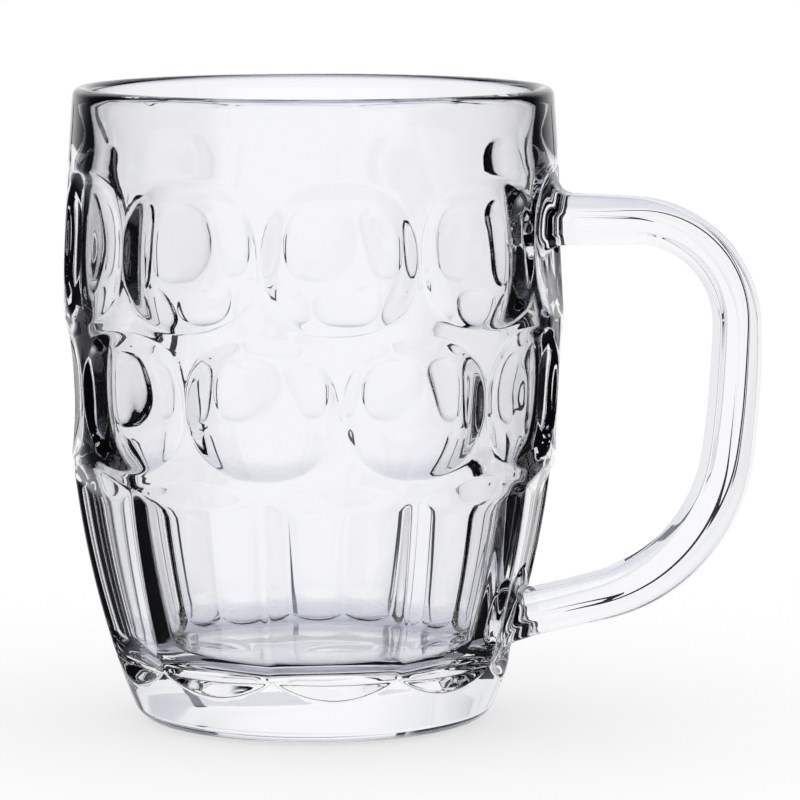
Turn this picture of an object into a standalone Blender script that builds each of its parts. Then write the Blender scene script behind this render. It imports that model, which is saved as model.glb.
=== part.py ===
"""Glass barrel beer mug: a thick dimpled bowl and a strap handle fused on at two welds.

Metres, +Z up. The origin is the middle of the foot, and the handle stands on +X.
"""

import math

import bmesh
import bpy

# Heights of the bowl, stacked from the foot up
HEEL_BAND = 0.0090
PANEL_HEIGHT = 0.0415
ROW_SPACE = 0.0006
MIDDLE_DIMPLE_HEIGHT = 0.0262
UPPER_DIMPLE_HEIGHT = 0.0281
DRINKING_BAND = 0.0150

# Outer radii of the barrel, and how fast it draws in below and above the belly
RIM_RADIUS = 0.04575
BELLY_RADIUS = 0.0477
HEEL_WALL_RADIUS = 0.0333
BELLY_HEIGHT = 0.0850
LOWER_DRAW = 2.5
UPPER_DRAW = 1.3
HEEL_RADIUS = 0.0055

# Glass thickness
WALL = 0.0045
RIM_WALL = 0.0033
FLOOR_THICKNESS = 0.0135
FLOOR_RADIUS = 0.0070

# Pressed pattern: two rows of dimples over a row of tall panels
COLUMNS = 10
RIB_WIDTH = 0.0010
DIMPLE_DEPTH = 0.0030
DIMPLE_SQUARENESS = 2.4
DIMPLE_STEEPNESS = 2.6
PANEL_DEPTH = 0.0025
ARCH_DROP = 0.0034
LEDGE_SLOPE = 0.40
TOE_RISE = 0.0034
TOE_SLOPE = 0.50
CREASE_RADIUS = 0.0003

# Shares of the pattern that show again on the inside
DIMPLE_FOLLOW = 0.36
PANEL_FOLLOW = 0.10

# Handle: its route in the XZ plane and its faceted section
HANDLE_REACH = 0.0858
UPPER_WELD_RISE = 0.0046
LOWER_WELD_RISE = 0.0112
SHOULDER_RADIUS = 0.0196
TOE_RADIUS = 0.0331
GRIP_LEAN = math.radians(7.5)
LOWER_RUN_SLOPE = math.radians(15.0)
HANDLE_THICK = 0.0088
HANDLE_DEPTH = 0.0140
OUTER_FLAT = 0.0070
INNER_FLAT = 0.0100
OUTER_BEVEL = 0.0034
INNER_BEVEL = 0.0020
FACET_RADIUS = 0.0008

# Welds: collars of glass between the handle's ends and the bowl
WELD_LENGTH = 0.0054
WELD_FLARE = 1.40
WELD_SINK = 0.0080
GAP = 0.0003

# Facets
STEPS_PER_COLUMN = 8
DIMPLE_ROWS = 7
PANEL_ROWS = 9
INSIDE_ROWS = 12
ROUND_STEPS = 4
LIP_STEPS = 6
HANDLE_ARC_STEPS = 8
MERGE = 0.000001
CUTTER_MARGIN = 0.0100
SLOPE_STEP = 0.0001
SMOOTH_ANGLE = math.radians(32.0)

# Levels that follow from the stack of heights
PANEL_TOP = HEEL_BAND + PANEL_HEIGHT
MIDDLE_BOTTOM = PANEL_TOP + ROW_SPACE
MIDDLE_TOP = MIDDLE_BOTTOM + MIDDLE_DIMPLE_HEIGHT
UPPER_BOTTOM = MIDDLE_TOP + ROW_SPACE
UPPER_TOP = UPPER_BOTTOM + UPPER_DIMPLE_HEIGHT
HEIGHT = UPPER_TOP + DRINKING_BAND
LIP_RADIUS = RIM_WALL / 2
LIP_LEVEL = HEIGHT - LIP_RADIUS
PITCH = 2 * math.pi / COLUMNS


def outer_radius(z):
    """Radius of the barrel before anything is pressed into it."""
    if z < BELLY_HEIGHT:
        share = (BELLY_HEIGHT - z) / BELLY_HEIGHT
        return BELLY_RADIUS - (BELLY_RADIUS - HEEL_WALL_RADIUS) * share**LOWER_DRAW
    share = (z - BELLY_HEIGHT) / (LIP_LEVEL - BELLY_HEIGHT)
    return BELLY_RADIUS - (BELLY_RADIUS - RIM_RADIUS) * share**UPPER_DRAW


def lean(z):
    """Angle of the barrel's wall from upright at a level."""
    return math.atan((outer_radius(z + SLOPE_STEP) - outer_radius(z)) / SLOPE_STEP)


def wall(z):
    """Glass thickness: even up to the drinking band, then thinning to the rim."""
    share = min(max((z - UPPER_TOP) / (LIP_LEVEL - UPPER_TOP), 0.0), 1.0)
    return WALL + (RIM_WALL - WALL) * share * share * (3 - 2 * share)


def inner_radius(z):
    return outer_radius(z) - wall(z)


def eased(depth):
    """A press depth with its crease rounded, and nothing outside the crease."""
    if depth <= -CREASE_RADIUS:
        return 0.0
    if depth >= CREASE_RADIUS:
        return depth
    return (depth + CREASE_RADIUS) ** 2 / (4 * CREASE_RADIUS)


def column_offset(angle, shift):
    """Angle from the middle of the nearest column."""
    turns = (angle - shift) / PITCH
    return (turns - round(turns)) * PITCH


def half_width(z):
    return outer_radius(z) * PITCH / 2 - RIB_WIDTH / 2


def dimple_reach(angle, z, bottom, top, shift):
    """0 in the middle of a dimple and 1 on its rim."""
    across = abs(column_offset(angle, shift)) * outer_radius(z) / half_width(z)
    along = abs(z - (bottom + top) / 2) / ((top - bottom) / 2)
    return (across**DIMPLE_SQUARENESS + along**DIMPLE_SQUARENESS) ** (1 / DIMPLE_SQUARENESS)


def hollow(reach):
    """Press depth of a dimple: a dish with a steep edge."""
    return eased(DIMPLE_DEPTH * (1 - reach**DIMPLE_STEEPNESS))


def swelling(reach):
    """Height of the soft swelling that a dimple leaves on the inside."""
    return DIMPLE_FOLLOW * DIMPLE_DEPTH * max(1 - reach**2, 0.0) ** 2


def dimples(angle, z, shape):
    """Both rows of dimples, the middle row staggered by half a column."""
    upper = shape(dimple_reach(angle, z, UPPER_BOTTOM, UPPER_TOP, 0.0))
    return upper + shape(dimple_reach(angle, z, MIDDLE_BOTTOM, MIDDLE_TOP, PITCH / 2))


def panel(angle, z):
    """Press depth of a panel: a flute between a sloping ledge and a sloping toe."""
    across = column_offset(angle, 0.0) * outer_radius(z) / half_width(z)
    face = PANEL_DEPTH * (1 - across**2)
    ledge = LEDGE_SLOPE * (PANEL_TOP - ARCH_DROP * across**2 - z)
    toe = TOE_SLOPE * (z - HEEL_BAND - TOE_RISE * across**2)
    return eased(min(face, ledge, toe))


def recess(angle, z):
    """How far the pattern is pressed in from the barrel's radius."""
    return dimples(angle, z, hollow) + panel(angle, z)


def inside_recess(angle, z):
    """How far the inside stands in from its plain radius."""
    return dimples(angle, z, swelling) + PANEL_FOLLOW * panel(angle, z)


def wall_face(z):
    """Distance from the axis to the pressed wall under the handle."""
    return outer_radius(z) - recess(0.0, z)


def arc(centre, radius, start, end, steps):
    """Points of an arc, both ends included."""
    points = []
    for i in range(steps + 1):
        turn = start + (end - start) * i / steps
        points.append((centre[0] + radius * math.cos(turn), centre[1] + radius * math.sin(turn)))
    return points


def levels_down(top, bottom, count):
    """Levels from top to bottom, closer together at both ends."""
    middle = (top + bottom) / 2
    half = (top - bottom) / 2
    return [middle + half * math.cos(math.pi * i / count) for i in range(count + 1)]


def outside_levels():
    """Levels of the outer wall, from under the lip down to the heel's round."""
    levels = levels_down(UPPER_TOP, UPPER_BOTTOM, DIMPLE_ROWS)
    levels += levels_down(MIDDLE_TOP, MIDDLE_BOTTOM, DIMPLE_ROWS)
    levels += levels_down(PANEL_TOP, HEEL_BAND, PANEL_ROWS)
    return levels


def tangent_round(radius_at, level, radius):
    """Centre of a round of this radius that leaves a level and runs into the wall."""
    return (radius_at(level) - radius / math.cos(lean(level)), level)


def bowl_profile():
    """Half section, from the middle of the floor up inside, over the lip and down outside."""
    floor_level = FLOOR_THICKNESS + FLOOR_RADIUS
    floor_round = tangent_round(inner_radius, floor_level, FLOOR_RADIUS)
    corner = arc(floor_round, FLOOR_RADIUS, -math.pi / 2, -lean(floor_level), ROUND_STEPS)
    rise = (LIP_LEVEL - corner[-1][1]) / INSIDE_ROWS
    inside = [corner[-1][1] + rise * i for i in range(1, INSIDE_ROWS)]
    lip_round = (outer_radius(LIP_LEVEL) - LIP_RADIUS, LIP_LEVEL)
    heel_round = tangent_round(outer_radius, HEEL_RADIUS, HEEL_RADIUS)
    points = [(0.0, FLOOR_THICKNESS), (corner[0][0] / 2, FLOOR_THICKNESS)]
    points += corner
    points += [(inner_radius(z), z) for z in inside]
    points += arc(lip_round, LIP_RADIUS, math.pi, 0.0, LIP_STEPS)
    points += [(outer_radius(z), z) for z in outside_levels()]
    points += arc(heel_round, HEEL_RADIUS, -lean(HEEL_RADIUS), -math.pi / 2, ROUND_STEPS)
    points += [(0.0, 0.0)]
    return points


def trim_profile():
    """Half section of the pressed outer wall grown by the gap, filled to the axis."""
    top = HEIGHT + CUTTER_MARGIN
    points = [(0.0, top), (outer_radius(HEIGHT) + GAP, top)]
    points += [(outer_radius(z) + GAP, z) for z in outside_levels()]
    points += [(outer_radius(0.0) + GAP, -CUTTER_MARGIN), (0.0, -CUTTER_MARGIN)]
    return points


def clear_scene():
    for old in list(bpy.data.objects):
        bpy.data.objects.remove(old, do_unlink=True)


def new_collection(name):
    collection = bpy.data.collections.new(name)
    bpy.context.scene.collection.children.link(collection)
    return collection


def clear_glass(name, colour, roughness):
    """Clear soda-lime glass."""
    material = bpy.data.materials.new(name)
    material.use_nodes = True
    shader = material.node_tree.nodes["Principled BSDF"]
    shader.inputs["Base Color"].default_value = (*colour, 1.0)
    shader.inputs["Roughness"].default_value = roughness
    shader.inputs["Metallic"].default_value = 0.0
    shader.inputs["IOR"].default_value = 1.52
    shader.inputs["Transmission Weight"].default_value = 1.0
    return material


def mesh_of(thing):
    """The object's evaluated mesh, welded and facing out."""
    depsgraph = bpy.context.evaluated_depsgraph_get()
    mesh = bpy.data.meshes.new_from_object(thing.evaluated_get(depsgraph))
    work = bmesh.new()
    work.from_mesh(mesh)
    bmesh.ops.remove_doubles(work, verts=work.verts, dist=MERGE)
    bmesh.ops.recalc_face_normals(work, faces=work.faces)
    work.to_mesh(mesh)
    work.free()
    return mesh


def made_solid(draft, collection):
    """Puts a mesh object in the place of a drawn curve or profile."""
    name = draft.name
    solid = bpy.data.objects.new(name + "_solid", mesh_of(draft))
    solid.matrix_world = draft.matrix_world.copy()
    bpy.data.objects.remove(draft, do_unlink=True)
    solid.name = name
    collection.objects.link(solid)
    return solid


def turned(name, profile, collection):
    """A profile turned once round the axis."""
    mesh = bpy.data.meshes.new(name)
    edges = [(i, i + 1) for i in range(len(profile) - 1)]
    mesh.from_pydata([(r, 0.0, z) for r, z in profile], edges, [])
    draft = bpy.data.objects.new(name, mesh)
    bpy.context.scene.collection.objects.link(draft)
    screw = draft.modifiers.new("turn", "SCREW")
    screw.steps = STEPS_PER_COLUMN * COLUMNS
    screw.render_steps = screw.steps
    screw.use_merge_vertices = True
    screw.merge_threshold = MERGE
    bpy.context.view_layer.update()
    return made_solid(draft, collection)


def press_pattern(solid):
    """Presses the dimples and panels into a turned solid, the inside following the outside."""
    for vertex in solid.data.vertices:
        radius = math.hypot(vertex.co.x, vertex.co.y)
        level = vertex.co.z
        angle = math.atan2(vertex.co.y, vertex.co.x)
        if radius > outer_radius(level) - wall(level) / 2:
            scale = 1 - recess(angle, level) / outer_radius(level)
        else:
            scale = 1 - inside_recess(angle, level) / inner_radius(level)
        vertex.co.x *= scale
        vertex.co.y *= scale


def strap_section(collection):
    """The handle's section: a flat outside, bevelled flanks and a broader inside."""
    half_depth = HANDLE_DEPTH / 2
    half_thick = HANDLE_THICK / 2
    near = [
        (half_thick, INNER_FLAT / 2),
        (half_thick - INNER_BEVEL, half_depth),
        (-half_thick + OUTER_BEVEL, half_depth),
        (-half_thick, OUTER_FLAT / 2),
    ]
    corners = near + [(x, -y) for x, y in reversed(near)]
    points = []
    for i, corner in enumerate(corners):
        for other in (corners[i - 1], corners[(i + 1) % len(corners)]):
            length = math.dist(corner, other)
            share = FACET_RADIUS / length
            points.append([c + (o - c) * share for c, o in zip(corner, other)])
    data = bpy.data.curves.new("handle_section", "CURVE")
    data.dimensions = "2D"
    spline = data.splines.new("POLY")
    spline.points.add(len(points) - 1)
    for point, (x, y) in zip(spline.points, points):
        point.co = (x, y, 0.0, 1.0)
    spline.use_cyclic_u = True
    section = bpy.data.objects.new("handle_section", data)
    section.hide_render = True
    section.display_type = "WIRE"
    collection.objects.link(section)
    return section


def swept(name, section, stations, collection):
    """The strap section carried along stations of x, z and scale."""
    data = bpy.data.curves.new(name, "CURVE")
    data.dimensions = "3D"
    data.twist_mode = "Z_UP"
    data.bevel_mode = "OBJECT"
    data.bevel_object = section
    data.use_fill_caps = True
    spline = data.splines.new("POLY")
    spline.points.add(len(stations) - 1)
    for point, (x, z, scale) in zip(spline.points, stations):
        point.co = (x, z, 0.0, 1.0)
        point.radius = scale
    draft = bpy.data.objects.new(name, data)
    draft.rotation_euler.x = math.pi / 2
    bpy.context.scene.collection.objects.link(draft)
    bpy.context.view_layer.update()
    return made_solid(draft, collection)


def handle_ends():
    """Where the handle's two runs meet the pressed wall, and the way each one points."""
    upper_level = (UPPER_BOTTOM + UPPER_TOP) / 2 + UPPER_WELD_RISE
    lower_level = HEEL_BAND + LOWER_WELD_RISE
    upper = (wall_face(upper_level), upper_level)
    lower = (wall_face(lower_level), lower_level)
    return upper, (1.0, 0.0), lower, (math.cos(LOWER_RUN_SLOPE), math.sin(LOWER_RUN_SLOPE))


def along(start, way, distance):
    return (start[0] + way[0] * distance, start[1] + way[1] * distance)


def handle_route():
    """Centre line: upper run, shoulder, leaning grip, toe and lower run."""
    upper, upper_way, lower, lower_way = handle_ends()
    grip = HANDLE_REACH - HANDLE_THICK / 2
    toe_end = math.pi / 2 - LOWER_RUN_SLOPE
    shoulder = (grip - SHOULDER_RADIUS, upper[1] - SHOULDER_RADIUS)
    # The grip's radius is the one that brings the lower run onto the lower weld
    toe_drop = TOE_RADIUS * (math.sin(toe_end) - math.sin(GRIP_LEAN))
    toe_draw = TOE_RADIUS * (math.cos(GRIP_LEAN) - math.cos(toe_end))
    run_fall = (grip - toe_draw - lower[0]) * math.tan(LOWER_RUN_SLOPE)
    grip_drop = shoulder[1] - lower[1] - toe_drop - run_fall
    grip_share = math.sin(GRIP_LEAN) - (1 - math.cos(GRIP_LEAN)) * math.tan(LOWER_RUN_SLOPE)
    grip_radius = grip_drop / grip_share
    grip_centre = (grip - grip_radius, shoulder[1])
    toe = along(grip_centre, (math.cos(GRIP_LEAN), -math.sin(GRIP_LEAN)), grip_radius - TOE_RADIUS)
    points = [along(upper, upper_way, WELD_LENGTH + GAP)]
    points += arc(shoulder, SHOULDER_RADIUS, math.pi / 2, 0.0, HANDLE_ARC_STEPS)
    points += arc(grip_centre, grip_radius, 0.0, -GRIP_LEAN, ROUND_STEPS)[1:]
    points += arc(toe, TOE_RADIUS, -GRIP_LEAN, -toe_end, HANDLE_ARC_STEPS)[1:]
    points += [along(lower, lower_way, WELD_LENGTH + GAP)]
    return [(x, z, 1.0) for x, z in points]


def weld_route(start, way):
    """A collar from inside the wall to the handle's end, flaring towards the wall."""
    stations = [(*along(start, way, -WELD_SINK), WELD_FLARE)]
    for i in range(ROUND_STEPS + 1):
        share = i / ROUND_STEPS
        flare = 1 + (WELD_FLARE - 1) * (1 - share) ** 2
        stations.append((*along(start, way, WELD_LENGTH * share), flare))
    return stations


def trim_to_wall(piece, trimmer):
    cut = piece.modifiers.new("trim", "BOOLEAN")
    cut.operation = "DIFFERENCE"
    cut.object = trimmer


def finish(piece, material):
    piece.data.materials.append(material)
    piece.data.shade_smooth()
    piece.data.set_sharp_from_angle(angle=SMOOTH_ANGLE)


def main():
    clear_scene()
    mug = new_collection("glass_barrel_beer_mug")
    cutters = new_collection("cutters")

    bowl = turned("bowl", bowl_profile(), mug)
    press_pattern(bowl)
    finish(bowl, clear_glass("bowl_glass", (0.95, 0.95, 0.97), 0.02))

    trimmer = turned("wall_trimmer", trim_profile(), cutters)
    press_pattern(trimmer)
    trimmer.hide_render = True
    trimmer.display_type = "WIRE"

    section = strap_section(cutters)
    handle = swept("handle", section, handle_route(), mug)
    finish(handle, clear_glass("handle_glass", (0.95, 0.95, 0.97), 0.03))

    upper, upper_way, lower, lower_way = handle_ends()
    for name, start, way in (("upper_weld", upper, upper_way), ("lower_weld", lower, lower_way)):
        weld = swept(name, section, weld_route(start, way), mug)
        trim_to_wall(weld, trimmer)
        finish(weld, clear_glass(name + "_glass", (0.94, 0.94, 0.96), 0.04))


main()
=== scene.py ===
# %% [markdown]
# # A glass barrel beer mug
# The mug is pressed soda-lime glass: a thick barrel with two rows of dimples over a row of
# tall panels, and a strap handle that is fused on at two welds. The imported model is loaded
# first and stays fixed. Each finer piece made below takes the place of one node of it.

# %% load the frame
import math

import bpy
import numpy as np
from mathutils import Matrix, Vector


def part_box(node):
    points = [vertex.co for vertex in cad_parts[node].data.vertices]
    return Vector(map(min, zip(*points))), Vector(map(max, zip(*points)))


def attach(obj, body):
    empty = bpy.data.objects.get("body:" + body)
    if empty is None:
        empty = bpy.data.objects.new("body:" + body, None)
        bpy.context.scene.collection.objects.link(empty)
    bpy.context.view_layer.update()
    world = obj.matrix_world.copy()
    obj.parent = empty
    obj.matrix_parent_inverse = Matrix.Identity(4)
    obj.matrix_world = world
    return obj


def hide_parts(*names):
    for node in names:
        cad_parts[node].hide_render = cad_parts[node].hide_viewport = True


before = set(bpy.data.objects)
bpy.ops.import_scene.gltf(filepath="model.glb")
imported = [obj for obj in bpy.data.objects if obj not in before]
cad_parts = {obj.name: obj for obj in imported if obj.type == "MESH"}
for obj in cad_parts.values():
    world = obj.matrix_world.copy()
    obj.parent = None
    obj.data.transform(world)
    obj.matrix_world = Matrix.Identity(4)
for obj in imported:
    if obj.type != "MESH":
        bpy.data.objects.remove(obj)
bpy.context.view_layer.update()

print("nodes of the frame:", sorted(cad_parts))

# %% [markdown]
# ## The camera
# The photograph looks a little down on the mug, with the handle on the right and turned
# slightly towards the viewer. A long lens a metre away keeps the barrel's sides nearly
# parallel. The camera could be posed by hand. Here it is placed from a distance, a height
# and a turn, so that each can be checked against the picture by itself.

# %% camera
PHOTO_TURN = math.radians(11.0)
CAMERA_DISTANCE = 1.000
CAMERA_HEIGHT = 0.177
AIM_SIDE = 0.01645
AIM_HEIGHT = 0.0610
LENS = 237.0
SENSOR = 36.0

view_right = Vector((math.cos(PHOTO_TURN), math.sin(PHOTO_TURN), 0.0))
view_ahead = Vector((-math.sin(PHOTO_TURN), math.cos(PHOTO_TURN), 0.0))
aim = view_right * AIM_SIDE + Vector((0.0, 0.0, AIM_HEIGHT))
stand = view_right * AIM_SIDE - view_ahead * CAMERA_DISTANCE + Vector((0.0, 0.0, CAMERA_HEIGHT))

camera_data = bpy.data.cameras.new("photo_camera")
camera_data.lens = LENS
camera_data.sensor_width = SENSOR
camera = bpy.data.objects.new("photo_camera", camera_data)
camera.location = stand
camera.rotation_euler = (aim - stand).to_track_quat("-Z", "Y").to_euler()
bpy.context.scene.collection.objects.link(camera)
bpy.context.scene.camera = camera
print("camera is", round((aim - stand).length, 3), "m from its aim")

# %% [markdown]
# ## The barrel
# Before anything is pressed into it, the bowl is a turned barrel: its radius follows from the
# height alone. It could be a curve with a Screw modifier. A formula is used instead, because
# the pattern, the inside and the welds all have to know the same radius. The overall sizes are
# read from the frame, and the rest are the sizes that the model was drawn with.

# %% barrel radius and glass thickness
bowl_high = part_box("bowl")[1]
HEIGHT = bowl_high.z
BELLY_RADIUS = bowl_high.x
BELLY_HEIGHT = 0.0850
RIM_RADIUS = 0.04575
HEEL_WALL_RADIUS = 0.0333
HEEL_RADIUS = 0.0055
LOWER_DRAW = 2.5
UPPER_DRAW = 1.3
WALL = 0.0045
RIM_WALL = 0.0033
LIP_RADIUS = RIM_WALL / 2
LIP_LEVEL = HEIGHT - LIP_RADIUS
DRINKING_BAND = 0.0150


def smooth_share(value, start, end):
    """0 before start, 1 after end, and an even curve between."""
    share = np.clip((value - start) / (end - start), 0.0, 1.0)
    return share * share * (3 - 2 * share)


def outer_radius(z):
    """Radius of the plain barrel: drawn in below its belly, and a little above it."""
    below = np.clip((BELLY_HEIGHT - z) / BELLY_HEIGHT, 0.0, None)
    above = np.clip((z - BELLY_HEIGHT) / (LIP_LEVEL - BELLY_HEIGHT), 0.0, None)
    drawn_in = (BELLY_RADIUS - HEEL_WALL_RADIUS) * below**LOWER_DRAW
    return BELLY_RADIUS - drawn_in - (BELLY_RADIUS - RIM_RADIUS) * above**UPPER_DRAW


def inner_radius(z):
    """Radius of the plain inside: the wall thins to the rim over the drinking band."""
    thinned = smooth_share(z, HEIGHT - DRINKING_BAND, LIP_LEVEL)
    return outer_radius(z) - WALL - (RIM_WALL - WALL) * thinned


def lean(z):
    """Angle of the barrel's wall from upright."""
    step = 0.0001
    return math.atan((outer_radius(z + step) - outer_radius(z)) / step)


print("barrel radius at foot, belly and lip, mm:",
      [round(float(outer_radius(z)) * 1000, 1) for z in (HEEL_RADIUS, BELLY_HEIGHT, LIP_LEVEL)])

# %% [markdown]
# ## The pressed pattern
# The mould presses ten columns of rounded dimples in two staggered rows, and ten tall panels
# below them. A panel is a shallow flute with a sloping ledge at its top and at its toe. Each
# could be cut with a boolean, but cuts leave slivers that glass shows at once. Here a formula
# gives the press depth at every angle and level, and the wall is simply moved in by it.

# %% sizes of the pattern
COLUMNS = 10
PITCH = 2 * math.pi / COLUMNS
STAGGER = 0.5
ROW_SPACE = 0.0006
RIB_WIDTH = 0.0010
UPPER_DIMPLE_HEIGHT = 0.0281
MIDDLE_DIMPLE_HEIGHT = 0.0262
HEEL_BAND = 0.0090
UPPER_TOP = HEIGHT - DRINKING_BAND
UPPER_BOTTOM = UPPER_TOP - UPPER_DIMPLE_HEIGHT
UPPER_MIDDLE = (UPPER_BOTTOM + UPPER_TOP) / 2
MIDDLE_TOP = UPPER_BOTTOM - ROW_SPACE
MIDDLE_BOTTOM = MIDDLE_TOP - MIDDLE_DIMPLE_HEIGHT
PANEL_TOP = MIDDLE_BOTTOM - ROW_SPACE
DIMPLE_DEPTH = 0.0030
DIMPLE_SQUARENESS = 2.4
DIMPLE_STEEPNESS = 2.6
OUTER_CREASE = 0.0003
PANEL_DEPTH = 0.0025
ARCH_DROP = 0.0034
LEDGE_SLOPE = 0.40
TOE_RISE = 0.0034
TOE_SLOPE = 0.90
print("panels from", round(HEEL_BAND * 1000, 1), "to", round(PANEL_TOP * 1000, 1), "mm high")


# %% creases and columns
def eased(depth, crease):
    """A depth with a rounded crease where it begins, and nothing outside it."""
    rounded = (depth + crease) ** 2 / (4 * crease)
    return np.where(depth <= -crease, 0.0, np.where(depth >= crease, depth, rounded))


def lesser(a, b, crease):
    """The smaller of two depths, with the crease between them rounded."""
    near = np.clip(crease - np.abs(a - b), 0.0, None) / crease
    return np.minimum(a, b) - near * near * crease / 4


def column_offset(angle, shift):
    """Angle from the middle of the nearest column."""
    turns = (angle - shift) / PITCH
    return (turns - np.round(turns)) * PITCH


def half_angle(z):
    """Half the width of a dimple or panel, as an angle."""
    return PITCH / 2 - RIB_WIDTH / 2 / outer_radius(z)


dimple_width = 2 * float(half_angle(UPPER_MIDDLE) * outer_radius(UPPER_MIDDLE))
print("dimple", round(dimple_width * 1000, 1), "mm wide")


# %% press depth of dimples and panels
def dimple_reach(angle, z, bottom, top, shift):
    """0 in the middle of a dimple and 1 on its rim."""
    across = np.abs(column_offset(angle, shift)) / half_angle(z)
    along = np.abs(z - (bottom + top) / 2) / ((top - bottom) / 2)
    return (across**DIMPLE_SQUARENESS + along**DIMPLE_SQUARENESS) ** (1 / DIMPLE_SQUARENESS)


def hollow(reach):
    """Depth of a dimple's outer face: a dish with a steep edge."""
    return eased(DIMPLE_DEPTH * (1 - reach**DIMPLE_STEEPNESS), OUTER_CREASE)


def swelling(reach):
    """Height of the soft swelling that the dimple leaves on the inside."""
    return DIMPLE_DEPTH * np.clip(1 - reach**2, 0.0, None) ** 2


def dimples(angle, z, shape):
    """Both rows of dimples, as their hollows outside or their swellings inside."""
    upper = shape(dimple_reach(angle, z, UPPER_BOTTOM, UPPER_TOP, 0.0))
    return upper + shape(dimple_reach(angle, z, MIDDLE_BOTTOM, MIDDLE_TOP, STAGGER * PITCH))


def panel(angle, z, crease):
    """Depth of a panel: the least of its hollow face, its top ledge and its toe."""
    across = column_offset(angle, 0.0) / half_angle(z)
    face = PANEL_DEPTH * (1 - across**2)
    ledge = LEDGE_SLOPE * (PANEL_TOP - ARCH_DROP * across**2 - z)
    toe = TOE_SLOPE * (z - HEEL_BAND - TOE_RISE * across**2)
    return eased(lesser(lesser(face, ledge, crease), toe, crease), crease)


print("press depth at a dimple's middle, mm:", round(float(hollow(0.0)) * 1000, 2))

# %% [markdown]
# ## The grid of the outer wall
# A plain grid of rows and columns would cross the rims of the dimples at random, and every
# rim would look jagged through the glass. A finer grid would help, at the cost of many more
# faces. So the grid is bent: inside a dimple's cell the rings of the grid swell into rings of
# the dimple, with one ring on its rim, and in the panel row the rows curve with the ledges.

# %% rows through the dimples
CELL = 36
HALF_CELL = CELL // 2
RIM_RING = 15
RING_CROWDING = 1.35
MARGIN_CROWDING = 1.2
TINY = 1e-9
COUNT = COLUMNS * CELL
column_index = np.arange(COUNT)
even_angle = (column_index / CELL - COLUMNS / 2) * PITCH


def rounded_norm(a, b, squareness):
    """Length of (a, b) as counted by a square with rounded corners."""
    powers = np.abs(a) ** squareness + np.abs(b) ** squareness
    return np.maximum(powers, TINY) ** (1 / squareness)


def dimple_rows(bottom, top, floor, ceiling, shift):
    """Rows of one band of dimples from ceiling to floor, with a ring on each rim."""
    middle = (bottom + top) / 2
    turns = even_angle / PITCH - shift
    offset = (turns - np.round(turns)) * CELL
    centre = even_angle - offset / CELL * PITCH
    u = offset / HALF_CELL
    rows = []
    for step in range(CELL + 1):
        v = np.full(COUNT, 1 - step / HALF_CELL)
        ring = np.maximum(np.maximum(np.abs(u), np.abs(v)), TINY)
        a, b = u / ring, v / ring
        norm = rounded_norm(a, b, DIMPLE_SQUARENESS)
        inside = np.clip(ring * HALF_CELL / RIM_RING, 0.0, 1.0)
        reach = 1 - (1 - inside) ** RING_CROWDING
        margin = np.clip((ring * HALF_CELL - RIM_RING) / (HALF_CELL - RIM_RING), 0.0, 1.0)
        beyond = margin**MARGIN_CROWDING
        edge = np.where(b > 0, ceiling, floor)
        z_rim = middle + b / norm * reach * (top - bottom) / 2
        z = z_rim + (middle + b * np.abs(edge - middle) - z_rim) * beyond
        x_rim = a / norm * reach * half_angle(z)
        rows.append((centre + x_rim + (a * PITCH / 2 - x_rim) * beyond, z))
    return rows


print("a dimple's cell has", CELL, "by", CELL, "faces, with the rim on ring", RIM_RING)

# %% rows through the panels
PANEL_CLUSTER = 0.10


def panel_rows(knots):
    """Rows between knots of (level at a panel's middle, level at its ribs, count of steps)."""
    turns = even_angle / PITCH
    u = (turns - np.round(turns)) * 2
    bent = even_angle + PANEL_CLUSTER * np.sin(math.pi * u) * PITCH / 2
    rows = []
    for (mid_0, rib_0, _), (mid_1, rib_1, steps) in zip(knots, knots[1:]):
        for i in range(1, steps + 1):
            share = i / steps
            mid = mid_0 + (mid_1 - mid_0) * share
            rib = rib_0 + (rib_1 - rib_0) * share
            rows.append((bent, rib + (mid - rib) * (1 - u * u)))
    return rows


print("columns crowd to the ribs by", PANEL_CLUSTER, "of half a panel")

# %% rows of the outer wall
BAND_STEPS = 10
ARCH_STEPS, LEDGE_STEPS, FACE_STEPS, TOE_STEPS, HEEL_STEPS = 4, 8, 26, 7, 5
CELL_MARGIN = 0.0020
RIB_LEDGE = 0.0012
HEEL_MARGIN = 0.0010
ROW_EDGE = ROW_SPACE / 2
cell_ceiling = UPPER_TOP + CELL_MARGIN
row_split = UPPER_BOTTOM - ROW_EDGE
row_floor = MIDDLE_BOTTOM - ROW_EDGE
ledge_height = PANEL_DEPTH / LEDGE_SLOPE
toe_height = PANEL_DEPTH / TOE_SLOPE
rib_arch = PANEL_TOP - ARCH_DROP
rib_toe = HEEL_BAND + TOE_RISE
wall_foot = HEEL_RADIUS + HEEL_MARGIN

outside = []
for i in range(1, BAND_STEPS):
    level = LIP_LEVEL + (cell_ceiling - LIP_LEVEL) * i / BAND_STEPS
    outside.append((even_angle, np.full(COUNT, level)))
outside += dimple_rows(UPPER_BOTTOM, UPPER_TOP, row_split, cell_ceiling, 0.0)
outside += dimple_rows(MIDDLE_BOTTOM, MIDDLE_TOP, row_floor, row_split, STAGGER)[1:]
outside += panel_rows([
    (row_floor, row_floor, 0),
    (PANEL_TOP, rib_arch, ARCH_STEPS),
    (PANEL_TOP - ledge_height, rib_arch - RIB_LEDGE, LEDGE_STEPS),
    (HEEL_BAND + toe_height, rib_toe + RIB_LEDGE, FACE_STEPS),
    (HEEL_BAND, rib_toe, TOE_STEPS),
    (wall_foot, wall_foot, HEEL_STEPS),
])
wall_angle = np.array([row[0] for row in outside])
wall_level = np.array([row[1] for row in outside])
print("outer wall:", len(outside), "rows of", COUNT)

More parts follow.
